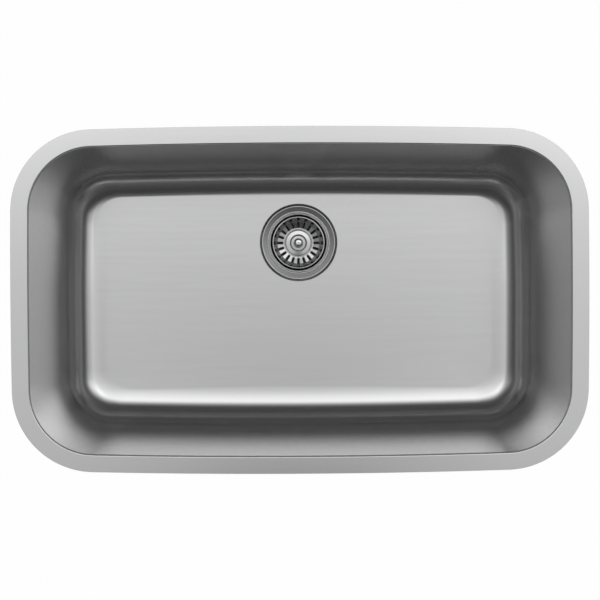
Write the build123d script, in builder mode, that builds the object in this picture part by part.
"""Single-bowl undermount kitchen sink in stainless steel, with its basket strainer drain.

The origin is the centre of the bowl's mouth, in the plane of the rim's top face, which is the face that
seals against the underside of a worktop. +X runs along the length, +Y points to the back, +Z up.
The drain's own heights are measured from the pressed seat that its flange sits in.
All sizes are in millimetres.
"""

import os
from math import atan2, cos, hypot, pi, radians, sin, sqrt, tan

from build123d import *

# ---------------------------------------------------------------- the pressed bowl
overall_length = 762.0  # 30 in over the rim, at the crown of its slightly bowed sides
overall_width = 458.0  # 18 in over the rim
bowl_depth = 229.0  # 9 in from the rim's top face to the floor beside the drain
sheet = 1.2  # 18 gauge
rim_width = 23.5
rim_corner = 108.0  # outer corner radius of the rim
long_side_bow = 3.7  # how far the long sides' crown stands out from their ends
short_side_bow = 0.8
lip_radius = 2.6  # the rounded step from the rim into the bowl
draft = 5.8  # degrees that the walls lean in
floor_radius = 38.0  # the cove between walls and floor
floor_fall = 1.0  # how far the floor falls from its border to the drain
floor_border = 2.0  # the level border inside the cove
drain_inset = 148.0  # from the rim's back edge to the drain's axis
recess_depth = 3.0  # the pressed seat that takes the drain's flange
recess_slope = 0.6  # run of the recess's sloping wall
recess_clearance = 1.0  # around the drain's flange
drain_hole_radius = 44.45  # 3-1/2 in hole

# ---------------------------------------------------------------- sound-deadening pads
pad_thickness = 3.0
pad_corner = 12.0
floor_pad_inner = 85.5  # from the middle of the length to the large floor pads
floor_pad_end_gap = 92.0  # from the rim's ends to the large floor pads
floor_pad_side_gap = 105.0  # from the rim's long sides to the floor pads
front_pad_length = 120.0
front_pad_drain_gap = 89.0  # from the drain's axis to the pad in front of it
wall_pad_top = 52.0  # below the rim
wall_pad_foot = 85.0  # above the floor
long_pad_gap = 171.0  # from the rim's ends to the pads on the long walls
end_pad_gap = 133.5  # from the rim's long sides to the pads on the end walls
layer_top = 10.0  # the layer that the wall pads are cut from starts below the rim

# ---------------------------------------------------------------- strainer body in the drain hole
flange_radius = 57.15  # 4-1/2 in flange
flange_rise = 3.4  # the flange's crown above the seat
flange_crown_inset = 3.75  # from the flange's edge in to its crown
flange_edge = 0.9  # height of the flange's upright edge
flange_seal_thickness = 1.0
flange_seal_inner = 48.0
flange_seal_margin = 1.6  # the seal stops short of the flange's edge
body_bore = 41.4
body_wall = 1.2
ridge_inset = 4.2  # from the bore out to the crest where the flange turns down
body_straight_depth = 28.0  # from the seat down to where the body narrows
body_seat_depth = 40.0  # the flat seat that the stopper closes on
thread_height = 0.6
thread_pitch = 1.8
thread_top = 4.0  # first crest below the seat
thread_count = 11
thread_clearance = 0.15

# under the bowl
gasket_thickness = 3.5
gasket_radius = 56.0
friction_washer_thickness = 0.8
friction_washer_radius = 55.0
locknut_height = 12.0
locknut_flange = 3.0
locknut_flange_radius = 53.5
locknut_body_radius = 48.5
locknut_lugs = 6
locknut_lug_width = 9.0
locknut_lug_reach = 4.5

# ---------------------------------------------------------------- outlet
outlet_bore = 20.5
spud_collar = 0.9  # wall of the collar that is staked into the body's foot
spud_radius = 23.9  # over the thread for 1-1/2 in slip joints
spud_thread_pitch = 2.2
spud_flange_radius = 27.0
spud_flange_thickness = 2.5
spud_length = 22.0  # from the stopper's seat to the spud's lower end
tail_radius = 19.05  # 1-1/2 in tube
tail_wall = 0.8
tail_length = 101.6  # 4 in
tail_flange_radius = 23.0
tail_flange_thickness = 1.4
tail_root_step = 0.4  # the tube is a little thicker where it turns out into the flange
tail_root_margin = 0.4  # and that stretch ends just below the coupling nut
tail_washer_thickness = 2.0
coupling_wall = 3.4
coupling_cover = 14.0  # how far the nut reaches up over the spud
coupling_lip = 2.6
coupling_ribs = 8
coupling_rib_width = 5.0
coupling_rib_height = 2.2

# ---------------------------------------------------------------- the crossbar that catches the post
crossbar_arms = 3
crossbar_arm_width = 2.4
crossbar_depth = 6.0
crossbar_hub_radius = 7.5
crossbar_clearance = 1.3  # left under the basket's nut when the drain is closed
catch_clearance = 0.08

# ---------------------------------------------------------------- basket: cup, hub cap, post, knob, stopper
basket_travel = 6.0  # how far the raised basket drops to close the drain
stopper_gap = 0.3  # left under the stopper when the drain is closed
stopper_thickness = 4.0
stopper_radius = 26.0
stopper_washer_radius = 13.0
stopper_washer_thickness = 1.0
nut_across_flats = 10.0
nut_thickness = 4.0
post_radius = 3.0
post_tip_radius = 2.2
post_clearance = 0.08  # the cup turns on the post
running_gap = 0.15  # above and below the turning cup
cup_sheet = 0.8
cup_rim_radius = 39.2
cup_rim_lip = 2.2
cup_depth = 26.0
cup_shoulder_radius = 33.4  # where the wall turns into the slotted cone
cup_shoulder_height = 2.6
cup_shoulder_turn = 3.5  # the rounding between wall and cone
cup_floor_radius = 22.6
slot_count = 20
slot_width = 2.8
slot_inner = 22.6
slot_outer = 32.0
hub_cap_radius = 21.0
hub_cap_height = 2.7  # its middle above the cup's floor
hub_cap_crown = 0.8  # its shoulder above its middle
hub_step_radius = 12.2
hub_cap_sheet = 0.9
knob_radius = 6.8
knob_neck = 3.9
knob_flat_radius = 4.2  # the ball is flatter inside this
knob_flat_rise = 0.55
knob_collar_radius = 7.4
knob_height = 20.2  # from the hub cap to the knob's crown
knob_socket = 9.0  # how deep the post screws into the knob
catch_radius = 3.9
catch_waist = 3.3
catch_head = 5.0  # the spring catch above the crossbar
catch_tail = 3.0  # and below it
catch_slit = 0.7

os.makedirs("parts", exist_ok=True)

seat_z = -(bowl_depth + recess_depth)
drain_y = overall_width / 2 - drain_inset
drain_axis = Axis((0, drain_y, 0), (0, 0, 1))
drain_section = Plane(origin=(0, drain_y, seat_z), x_dir=(1, 0, 0), z_dir=(0, -1, 0))


def drain_level(z):
    """A horizontal plane on the drain's axis, z above the flange's seat."""
    return Plane(origin=(0, drain_y, seat_z + z))


def save(piece, name):
    """Labels a finished piece and writes it as one STEP file."""
    piece.part.label = name
    export_step(piece.part, f"parts/{name}.step")


# ================================================================ bowl
half_length = overall_length / 2
half_width = overall_width / 2
long_arc = ((half_length - rim_corner) ** 2 + long_side_bow**2) / (2 * long_side_bow)
short_arc = ((half_width - rim_corner) ** 2 + short_side_bow**2) / (2 * short_side_bow)
long_arc_y = half_width - long_arc  # centre of the back side's arc
short_arc_x = half_length - short_arc  # centre of the right side's arc


def corner_centre():
    """The centre of the corner arc that runs smoothly into both bowed sides."""
    to_long = long_arc - rim_corner
    to_short = short_arc - rim_corner
    span = hypot(short_arc_x, long_arc_y)
    along = (to_long**2 - to_short**2 + span**2) / (2 * span)
    across = sqrt(to_long**2 - along**2)
    ux, uy = short_arc_x / span, -long_arc_y / span
    return ux * along + uy * across, long_arc_y + uy * along - ux * across


corner_x, corner_y = corner_centre()


def outline(inset):
    """The rim's outline moved inwards by inset: four bowed sides and four corners, all concentric."""
    long_turn = atan2(corner_x, corner_y - long_arc_y)
    short_turn = atan2(corner_y, corner_x - short_arc_x)
    corner_turn = (pi / 2 - long_turn + short_turn) / 2

    def on_long(angle):
        return (long_arc - inset) * sin(angle), long_arc_y + (long_arc - inset) * cos(angle)

    def on_short(angle):
        return short_arc_x + (short_arc - inset) * cos(angle), (short_arc - inset) * sin(angle)

    corner_middle = (
        corner_x + (rim_corner - inset) * cos(corner_turn),
        corner_y + (rim_corner - inset) * sin(corner_turn),
    )
    with BuildSketch() as shape:
        with BuildLine():
            ThreePointArc(on_long(0), on_long(long_turn / 2), on_long(long_turn))
            ThreePointArc(on_long(long_turn), corner_middle, on_short(short_turn))
            ThreePointArc(on_short(short_turn), on_short(short_turn / 2), on_short(0))
            mirror(about=Plane.XZ)
            mirror(about=Plane.YZ)
        make_face()
    return shape.sketch


recess_radius = flange_radius + recess_clearance
dish_radius = recess_radius + recess_slope  # where the floor ends, at the top of the pressed seat
lean = radians(draft)
border_z = floor_fall - bowl_depth
foot_inset = rim_width - border_z * tan(lean)  # where wall and border would meet in a sharp corner
border_inset = foot_inset + floor_radius * tan((pi / 2 - lean) / 2) + floor_border
rim_path = outline(0).faces()[0].outer_wire()
# x of a section runs inwards from the rim's front edge, y is height
rim_section = Plane(origin=(0, -half_width, 0), x_dir=(0, 1, 0), z_dir=(1, 0, 0))


def wall_inset(z, out):
    """Distance in from the rim's edge to the wall's surface at height z, out from the inside face."""
    return rim_width - z * tan(lean) - out / cos(lean)


def floor_block(out):
    """The floor's fall as a block, out below the inside face: a level border down to a ring at the drain."""
    turns = sorted(atan2(v.Y - drain_y, v.X) for v in outline(border_inset).vertices())
    turns.append(turns[0] + 2 * pi)

    def on_dish(turn):
        return dish_radius * cos(turn), drain_y + dish_radius * sin(turn)

    with BuildPart() as block:
        with BuildSketch(Plane.XY.offset(border_z - out)):
            add(outline(border_inset))
        with BuildSketch(Plane.XY.offset(-bowl_depth - out)):
            with BuildLine():
                for here, there in zip(turns, turns[1:]):
                    ThreePointArc(on_dish(here), on_dish((here + there) / 2), on_dish(there))
            make_face()
        loft(ruled=True)
    return block.part


with BuildPart() as sink_bowl:
    # rim, rounded lip, wall, cove and border, carried round the rim's outline
    with BuildSketch(rim_section):
        with BuildLine():
            FilletPolyline(
                (0, 0),
                (rim_width, 0),
                (foot_inset, border_z),
                (border_inset, border_z),
                radius=[lip_radius, floor_radius],
            )
            offset(amount=sheet, side=Side.RIGHT)
        make_face()
    sweep(path=rim_path)
    # the floor
    with BuildSketch(Plane.XY.offset(border_z)):
        add(outline(border_inset))
    extrude(amount=-sheet)
    add(floor_block(sheet))
    # the pressed seat for the drain stands down from the floor
    with BuildSketch(drain_section):
        with BuildLine():
            Polyline(
                (0, recess_depth),
                (0, -sheet),
                (recess_radius + sheet, -sheet),
                (dish_radius + sheet, recess_depth - sheet),
                (dish_radius + sheet, recess_depth),
                close=True,
            )
        make_face()
    revolve(axis=drain_axis)
    add(floor_block(0), mode=Mode.SUBTRACT)
    with BuildSketch(drain_section):
        with BuildLine():
            Polyline(
                (0, recess_depth + sheet),
                (0, 0),
                (recess_radius, 0),
                (dish_radius, recess_depth),
                (dish_radius, recess_depth + sheet),
                close=True,
            )
        make_face()
    revolve(axis=drain_axis, mode=Mode.SUBTRACT)
    with Locations(drain_level(-sheet / 2)):
        Cylinder(drain_hole_radius, 3 * sheet, mode=Mode.SUBTRACT)
save(sink_bowl, "sink_bowl")

# ================================================================ pads stuck to the outside of the bowl
layer_foot = border_z + floor_radius  # above the cove
with BuildPart() as wall_layer:
    with BuildSketch(rim_section):
        Polygon(
            (wall_inset(-layer_top, sheet), -layer_top),
            (wall_inset(-layer_top, sheet + pad_thickness), -layer_top),
            (wall_inset(layer_foot, sheet + pad_thickness), layer_foot),
            (wall_inset(layer_foot, sheet), layer_foot),
            align=None,
        )
    sweep(path=rim_path)

with BuildPart() as floor_layer:
    with BuildSketch(Plane.XY.offset(border_z - sheet)):
        add(outline(border_inset))
    extrude(amount=-pad_thickness)
    add(floor_block(sheet + pad_thickness))
    add(floor_block(sheet), mode=Mode.SUBTRACT)


def floor_pad(name, low, high):
    """A rounded rectangle of sheet rubber between two corners, cut from the layer under the floor."""
    with BuildPart() as piece:
        with BuildSketch(Plane.XY.offset(border_z - sheet)):
            with Locations(((low[0] + high[0]) / 2, (low[1] + high[1]) / 2)):
                RectangleRounded(high[0] - low[0], high[1] - low[1], pad_corner)
        extrude(amount=-floor_fall - pad_thickness)
        add(floor_layer.part, mode=Mode.INTERSECT)
    save(piece, name)


def wall_pad(name, edge, along, facing, length):
    """A rounded rectangle of sheet rubber, cut from the layer around the walls."""
    top, foot = -wall_pad_top, wall_pad_foot - bowl_depth
    with BuildPart() as piece:
        with BuildSketch(Plane(origin=(*edge, (top + foot) / 2), x_dir=along, z_dir=facing)):
            RectangleRounded(length, top - foot, pad_corner)
        extrude(amount=rim_width + rim_corner)
        add(wall_layer.part, mode=Mode.INTERSECT)
    save(piece, name)


pad_end = half_length - floor_pad_end_gap
pad_side = half_width - floor_pad_side_gap
floor_pad("floor_pad_left", (-pad_end, -pad_side), (-floor_pad_inner, pad_side))
floor_pad("floor_pad_right", (floor_pad_inner, -pad_side), (pad_end, pad_side))
floor_pad(
    "floor_pad_front",
    (-front_pad_length / 2, -pad_side),
    (front_pad_length / 2, drain_y - front_pad_drain_gap),
)
long_pad = overall_length - 2 * long_pad_gap
end_pad = overall_width - 2 * end_pad_gap
wall_pad("wall_pad_back", (0, half_width), (1, 0, 0), (0, -1, 0), long_pad)
wall_pad("wall_pad_front", (0, -half_width), (1, 0, 0), (0, 1, 0), long_pad)
wall_pad("wall_pad_left", (-half_length, 0), (0, 1, 0), (1, 0, 0), end_pad)
wall_pad("wall_pad_right", (half_length, 0), (0, 1, 0), (-1, 0, 0), end_pad)

# ================================================================ drain, fixed pieces
# heights in the drain's sketches are above the seat
under_seat = -sheet  # underside of the bowl at the seat
gasket_foot = under_seat - gasket_thickness
washer_foot = gasket_foot - friction_washer_thickness
locknut_foot = washer_foot - locknut_height
shell_radius = body_bore + body_wall  # outside of the strainer body
thread_radius = shell_radius + thread_height
nut_bore = thread_radius + thread_clearance
flange_under = flange_seal_thickness
crown_radius = flange_radius - flange_crown_inset
ridge_radius = body_bore + ridge_inset
foot_radius = body_seat_depth - body_straight_depth  # inner radius of the turn at the body's foot
foot_start = body_bore - foot_radius
body_under = -body_seat_depth - body_wall
foot_hole = outlet_bore + spud_collar

with BuildPart() as flange_seal:
    with BuildSketch(drain_level(0)):
        Circle(flange_radius - flange_seal_margin)
        Circle(flange_seal_inner, mode=Mode.SUBTRACT)
    extrude(amount=flange_seal_thickness)
save(flange_seal, "flange_seal")

with BuildPart() as strainer_body:
    with BuildSketch(drain_section):
        with BuildLine():
            # the upright edge, and the round outer slope up to the crown
            edge_top = (flange_radius, flange_under + flange_edge)
            crown = (crown_radius, flange_rise)
            slope_x = (crown_radius + flange_radius) / 2
            slope_z = flange_rise - (flange_rise - flange_under - flange_edge) / 4
            Line((flange_radius, flange_under), edge_top)
            ThreePointArc(edge_top, (slope_x, slope_z), crown)
            # the cone that falls inwards, and the crest where the flange turns down
            band_inner = (ridge_radius + 1.0, flange_under + 0.6)
            crest = (ridge_radius, flange_under + 1.0)
            crest_inner = (ridge_radius - 0.7, flange_under + 0.7)
            Line(crown, band_inner)
            ThreePointArc(band_inner, crest, crest_inner)
            # the second crest, and down the bore to the stopper's seat
            bore_lip = (body_bore + 1.6, flange_under + 0.4)
            bore_top = (body_bore, flange_under - 1.2)
            bore_foot = (body_bore, -body_straight_depth)
            Line(crest_inner, bore_lip)
            ThreePointArc(bore_lip, (body_bore + 0.4, flange_under - 0.1), bore_top)
            Line(bore_top, bore_foot)
            RadiusArc(bore_foot, (foot_start, -body_seat_depth), foot_radius)
            Line((foot_start, -body_seat_depth), (foot_hole, -body_seat_depth))
            # back along the outside
            Line((foot_hole, -body_seat_depth), (foot_hole, body_under))
            Line((foot_hole, body_under), (foot_start, body_under))
            RadiusArc(
                (foot_start, body_under),
                (shell_radius, -body_straight_depth),
                -foot_radius - body_wall,
            )
            Polyline(
                (shell_radius, -body_straight_depth),
                (shell_radius, under_seat + 0.2),
                (shell_radius + 0.9, flange_under - 0.5),
                (ridge_radius, flange_under - 0.3),
                (flange_seal_inner - 0.2, flange_under),
                (flange_radius, flange_under),
            )
        make_face()
        # the thread, as rings
        with Locations([(shell_radius, -thread_top - i * thread_pitch) for i in range(thread_count)]):
            Polygon(
                (-body_wall / 2, -thread_pitch / 2),
                (0, -thread_pitch / 2),
                (thread_height, -thread_pitch / 8),
                (thread_height, thread_pitch / 8),
                (0, thread_pitch / 2),
                (-body_wall / 2, thread_pitch / 2),
                align=None,
            )
    revolve(axis=drain_axis)
save(strainer_body, "strainer_body")

with BuildPart() as under_gasket:
    with BuildSketch(drain_level(gasket_foot)):
        Circle(gasket_radius)
        Circle(nut_bore, mode=Mode.SUBTRACT)
    extrude(amount=gasket_thickness)
save(under_gasket, "under_gasket")

with BuildPart() as friction_washer:
    with BuildSketch(drain_level(washer_foot)):
        Circle(friction_washer_radius)
        Circle(nut_bore, mode=Mode.SUBTRACT)
    extrude(amount=friction_washer_thickness)
save(friction_washer, "friction_washer")

with BuildPart() as locknut:
    with BuildSketch(drain_level(locknut_foot)):
        Circle(locknut_body_radius)
        with PolarLocations(locknut_body_radius, locknut_lugs):
            RectangleRounded(2 * locknut_lug_reach, locknut_lug_width, locknut_lug_reach / 2)
        Circle(nut_bore, mode=Mode.SUBTRACT)
    extrude(amount=locknut_height)
    with BuildSketch(drain_level(washer_foot)):
        Circle(locknut_flange_radius)
        Circle(nut_bore, mode=Mode.SUBTRACT)
    extrude(amount=-locknut_flange)
save(locknut, "locknut")

# ================================================================ outlet
spud_shoulder = body_under - spud_flange_thickness
spud_foot = -body_seat_depth - spud_length
spud_root = spud_radius - thread_height
spud_crest = spud_shoulder - spud_thread_pitch  # height of the first crest
spud_crests = int((spud_crest - spud_foot) / spud_thread_pitch)
with BuildPart() as outlet_spud:
    with BuildSketch(drain_section):
        Polygon(
            (outlet_bore, -body_seat_depth),
            (foot_hole, -body_seat_depth),
            (foot_hole, body_under),
            (spud_flange_radius, body_under),
            (spud_flange_radius, spud_shoulder),
            (spud_root, spud_shoulder),
            (spud_root, spud_foot),
            (outlet_bore, spud_foot),
            align=None,
        )
        with Locations([(spud_root, spud_crest - i * spud_thread_pitch) for i in range(spud_crests)]):
            Polygon(
                (-thread_height, -spud_thread_pitch / 2),
                (0, -spud_thread_pitch / 2),
                (thread_height, -spud_thread_pitch / 8),
                (thread_height, spud_thread_pitch / 8),
                (0, spud_thread_pitch / 2),
                (-thread_height, spud_thread_pitch / 2),
                align=None,
            )
    revolve(axis=drain_axis)
save(outlet_spud, "outlet_spud")

tail_top = spud_foot - tail_washer_thickness
tail_root_radius = tail_radius + tail_root_step
tail_root_length = tail_flange_thickness + coupling_lip + tail_root_margin
with BuildPart() as tailpiece_washer:
    with BuildSketch(drain_level(tail_top)):
        Circle(tail_flange_radius)
        Circle(tail_radius - tail_wall, mode=Mode.SUBTRACT)
    extrude(amount=tail_washer_thickness)
save(tailpiece_washer, "tailpiece_washer")

with BuildPart() as tailpiece:
    with BuildSketch(drain_level(tail_top)):
        Circle(tail_flange_radius)
    extrude(amount=-tail_flange_thickness)
    with BuildSketch(drain_level(tail_top)):
        Circle(tail_root_radius)
    extrude(amount=-tail_root_length)
    with BuildSketch(drain_level(tail_top)):
        Circle(tail_radius)
    extrude(amount=-tail_length)
    with BuildSketch(drain_level(tail_top)):
        Circle(tail_radius - tail_wall)
    extrude(amount=-tail_length, mode=Mode.SUBTRACT)
save(tailpiece, "tailpiece")

coupling_bore = spud_radius + thread_clearance
coupling_radius = coupling_bore + coupling_wall
coupling_top = spud_foot + coupling_cover
coupling_seat = tail_top - tail_flange_thickness
coupling_foot = coupling_seat - coupling_lip
with BuildPart() as coupling_nut:
    with BuildSketch(drain_level(coupling_foot)):
        Circle(coupling_radius)
        with PolarLocations(coupling_radius, coupling_ribs):
            RectangleRounded(2 * coupling_rib_height, coupling_rib_width, coupling_rib_height / 2)
    extrude(amount=coupling_top - coupling_foot)
    chamfer(coupling_nut.faces().sort_by(Axis.Z)[-1].outer_wire().edges(), coupling_rib_height / 3)
    with BuildSketch(drain_level(coupling_seat)):
        Circle(coupling_bore)
    extrude(amount=coupling_top - coupling_seat, mode=Mode.SUBTRACT)
    with BuildSketch(drain_level(coupling_foot)):
        Circle(tail_root_radius + thread_clearance)
    extrude(amount=coupling_lip, mode=Mode.SUBTRACT)
save(coupling_nut, "coupling_nut")

# ================================================================ the basket, raised as it stands to drain
stopper_foot = -body_seat_depth + stopper_gap + basket_travel
stopper_top = stopper_foot + stopper_thickness
cup_floor = stopper_top + running_gap + cup_sheet  # upper side of the cup's floor
cup_rim = cup_floor + cup_depth
nut_top = stopper_foot - stopper_washer_thickness
nut_foot = nut_top - nut_thickness
crossbar_top = nut_foot - basket_travel - crossbar_clearance
crossbar_foot = crossbar_top - crossbar_depth
post_hole = post_radius + post_clearance
hub_middle = cup_floor + hub_cap_height
hub_crown = hub_middle + hub_cap_crown
knob_foot = hub_middle + running_gap
knob_crown = hub_middle + knob_height
catch_top = crossbar_top + catch_head
catch_foot = crossbar_foot - catch_tail

with BuildPart() as strainer_crossbar:
    with BuildSketch(drain_level(crossbar_foot)):
        Circle(outlet_bore)
        Circle(outlet_bore - crossbar_arm_width / 2, mode=Mode.SUBTRACT)
        with PolarLocations(outlet_bore / 2, crossbar_arms, start_angle=90):
            Rectangle(outlet_bore - crossbar_arm_width / 2, crossbar_arm_width)
        Circle(crossbar_hub_radius)
        Circle(catch_radius + catch_clearance, mode=Mode.SUBTRACT)
    extrude(amount=crossbar_depth)
save(strainer_crossbar, "strainer_crossbar")

with BuildPart() as basket_cup:
    with BuildSketch(drain_section):
        with BuildLine():
            FilletPolyline(
                (cup_rim_radius, cup_rim),
                (cup_rim_radius - cup_rim_lip, cup_rim),
                (cup_shoulder_radius, cup_floor + cup_shoulder_height),
                (cup_floor_radius, cup_floor),
                (post_hole, cup_floor),
                radius=[cup_rim_lip / 2, cup_shoulder_turn, cup_shoulder_turn],
            )
            offset(amount=cup_sheet, side=Side.LEFT)
        make_face()
    revolve(axis=drain_axis)
    with BuildSketch(drain_level(cup_floor - cup_sheet)):
        with PolarLocations((slot_inner + slot_outer) / 2, slot_count):
            SlotOverall(slot_outer - slot_inner, slot_width)
    extrude(amount=cup_depth, mode=Mode.SUBTRACT)
save(basket_cup, "basket_cup")

with BuildPart() as hub_cap:
    with BuildSketch(drain_section):
        with BuildLine():
            lip_out = (hub_cap_radius, cup_floor + 0.8)
            lip_in = (hub_cap_radius - 1.6, cup_floor + 0.9)
            shoulder = (hub_step_radius + 0.6, hub_crown)
            step = (hub_step_radius, hub_crown - 0.5)
            Line((hub_cap_radius, cup_floor), lip_out)
            ThreePointArc(lip_out, (hub_cap_radius - 0.8, cup_floor + 1.6), lip_in)
            ThreePointArc(
                lip_in,
                (hub_cap_radius - 4.5, (cup_floor + 0.9 + hub_crown) / 2 + 0.7),
                shoulder,
            )
            Line(shoulder, step)
            ThreePointArc(
                step,
                ((hub_step_radius + knob_collar_radius) / 2, hub_middle - 0.1),
                (knob_collar_radius - 0.5, hub_middle),
            )
            Polyline(
                (knob_collar_radius - 0.5, hub_middle),
                (post_hole, hub_middle),
                (post_hole, hub_middle - hub_cap_sheet),
                (hub_step_radius - 1, hub_middle - hub_cap_sheet),
                (hub_step_radius + 0.6, hub_crown - hub_cap_sheet),
                (hub_cap_radius - 3.2, cup_floor + 0.6),
                (hub_cap_radius - 1.6, cup_floor),
                (hub_cap_radius, cup_floor),
            )
        make_face()
    revolve(axis=drain_axis)
save(hub_cap, "hub_cap")

flat_z = knob_crown - knob_flat_rise
flat_curve = (knob_flat_radius**2 + knob_flat_rise**2) / (2 * knob_flat_rise)
ball_centre = flat_z - sqrt(knob_radius**2 - knob_flat_radius**2)
ball_foot = ball_centre - sqrt(knob_radius**2 - knob_neck**2)
with BuildPart() as knob:
    with BuildSketch(drain_section):
        with BuildLine():
            Polyline(
                (0, knob_crown),
                (0, knob_foot + knob_socket),
                (post_radius, knob_foot + knob_socket),
                (post_radius, knob_foot),
                (knob_collar_radius, knob_foot),
                (knob_collar_radius, knob_foot + 0.6),
            )
            ThreePointArc(
                (knob_collar_radius, knob_foot + 0.6),
                (knob_neck + 0.9, knob_foot + 1.6),
                (knob_neck, knob_foot + 3.6),
            )
            Line((knob_neck, knob_foot + 3.6), (knob_neck, ball_foot))
            ThreePointArc((knob_neck, ball_foot), (knob_radius, ball_centre), (knob_flat_radius, flat_z))
            flat_middle_z = knob_crown - flat_curve + sqrt(flat_curve**2 - knob_flat_radius**2 / 4)
            flat_middle = (knob_flat_radius / 2, flat_middle_z)
            ThreePointArc((knob_flat_radius, flat_z), flat_middle, (0, knob_crown))
        make_face()
    revolve(axis=drain_axis)
save(knob, "knob")

with BuildPart() as post:
    with BuildSketch(drain_level(catch_top)):
        Circle(post_radius)
    extrude(amount=knob_foot + knob_socket - catch_top)
    with BuildSketch(drain_level(catch_top)):
        Circle(post_tip_radius)
    extrude(amount=catch_foot - catch_top)
    chamfer(post.edges().sort_by(Axis.Z)[0], post_tip_radius / 4)
save(post, "post")

with BuildPart() as stopper_seal:
    with BuildSketch(drain_level(stopper_foot)):
        Circle(stopper_radius)
    extrude(amount=stopper_thickness)
    fillet(stopper_seal.edges().group_by(Axis.Z)[0], stopper_thickness / 3)
    fillet(stopper_seal.edges().group_by(Axis.Z)[-1], stopper_thickness / 5)
    with BuildSketch(drain_level(stopper_foot)):
        Circle(post_radius)
    extrude(amount=stopper_thickness, mode=Mode.SUBTRACT)
save(stopper_seal, "stopper_seal")

with BuildPart() as stopper_washer:
    with BuildSketch(drain_level(nut_top)):
        Circle(stopper_washer_radius)
        Circle(post_radius, mode=Mode.SUBTRACT)
    extrude(amount=stopper_washer_thickness)
save(stopper_washer, "stopper_washer")

with BuildPart() as stopper_nut:
    with BuildSketch(drain_level(nut_foot)):
        RegularPolygon(nut_across_flats / 2, 6, major_radius=False)
    extrude(amount=nut_thickness)
    with BuildSketch(drain_section):
        Polygon(
            (0, nut_foot),
            (nut_across_flats / 2, nut_foot),
            (nut_across_flats / 2 + 1, nut_foot + 0.6),
            (nut_across_flats / 2 + 1, nut_top),
            (0, nut_top),
            align=None,
        )
    revolve(axis=drain_axis, mode=Mode.INTERSECT)
    with BuildSketch(drain_level(nut_foot)):
        Circle(post_radius)
    extrude(amount=nut_thickness, mode=Mode.SUBTRACT)
save(stopper_nut, "stopper_nut")

with BuildPart() as spring_catch:
    with BuildSketch(drain_section):
        with BuildLine():
            waist_top = (catch_waist, crossbar_top - catch_waist / 6)
            waist_foot = (catch_waist, crossbar_foot + catch_waist / 6)
            Polyline(
                (catch_waist, catch_top),
                (post_tip_radius, catch_top),
                (post_tip_radius, catch_foot),
                (catch_waist - 0.4, catch_foot),
            )
            ThreePointArc(
                (catch_waist - 0.4, catch_foot),
                (catch_radius, crossbar_foot - catch_tail / 3),
                waist_foot,
            )
            Line(waist_foot, waist_top)
            ThreePointArc(
                waist_top,
                (catch_radius, (catch_top + crossbar_top) / 2),
                (catch_waist, catch_top),
            )
        make_face()
    revolve(axis=drain_axis)
    with BuildSketch(drain_level(catch_foot)):
        with PolarLocations(0, 2):
            Rectangle(3 * catch_radius, catch_slit)
            Rectangle(catch_slit, 3 * catch_radius)
    extrude(amount=catch_tail + crossbar_depth + catch_head / 2, mode=Mode.SUBTRACT)
save(spring_catch, "spring_catch")
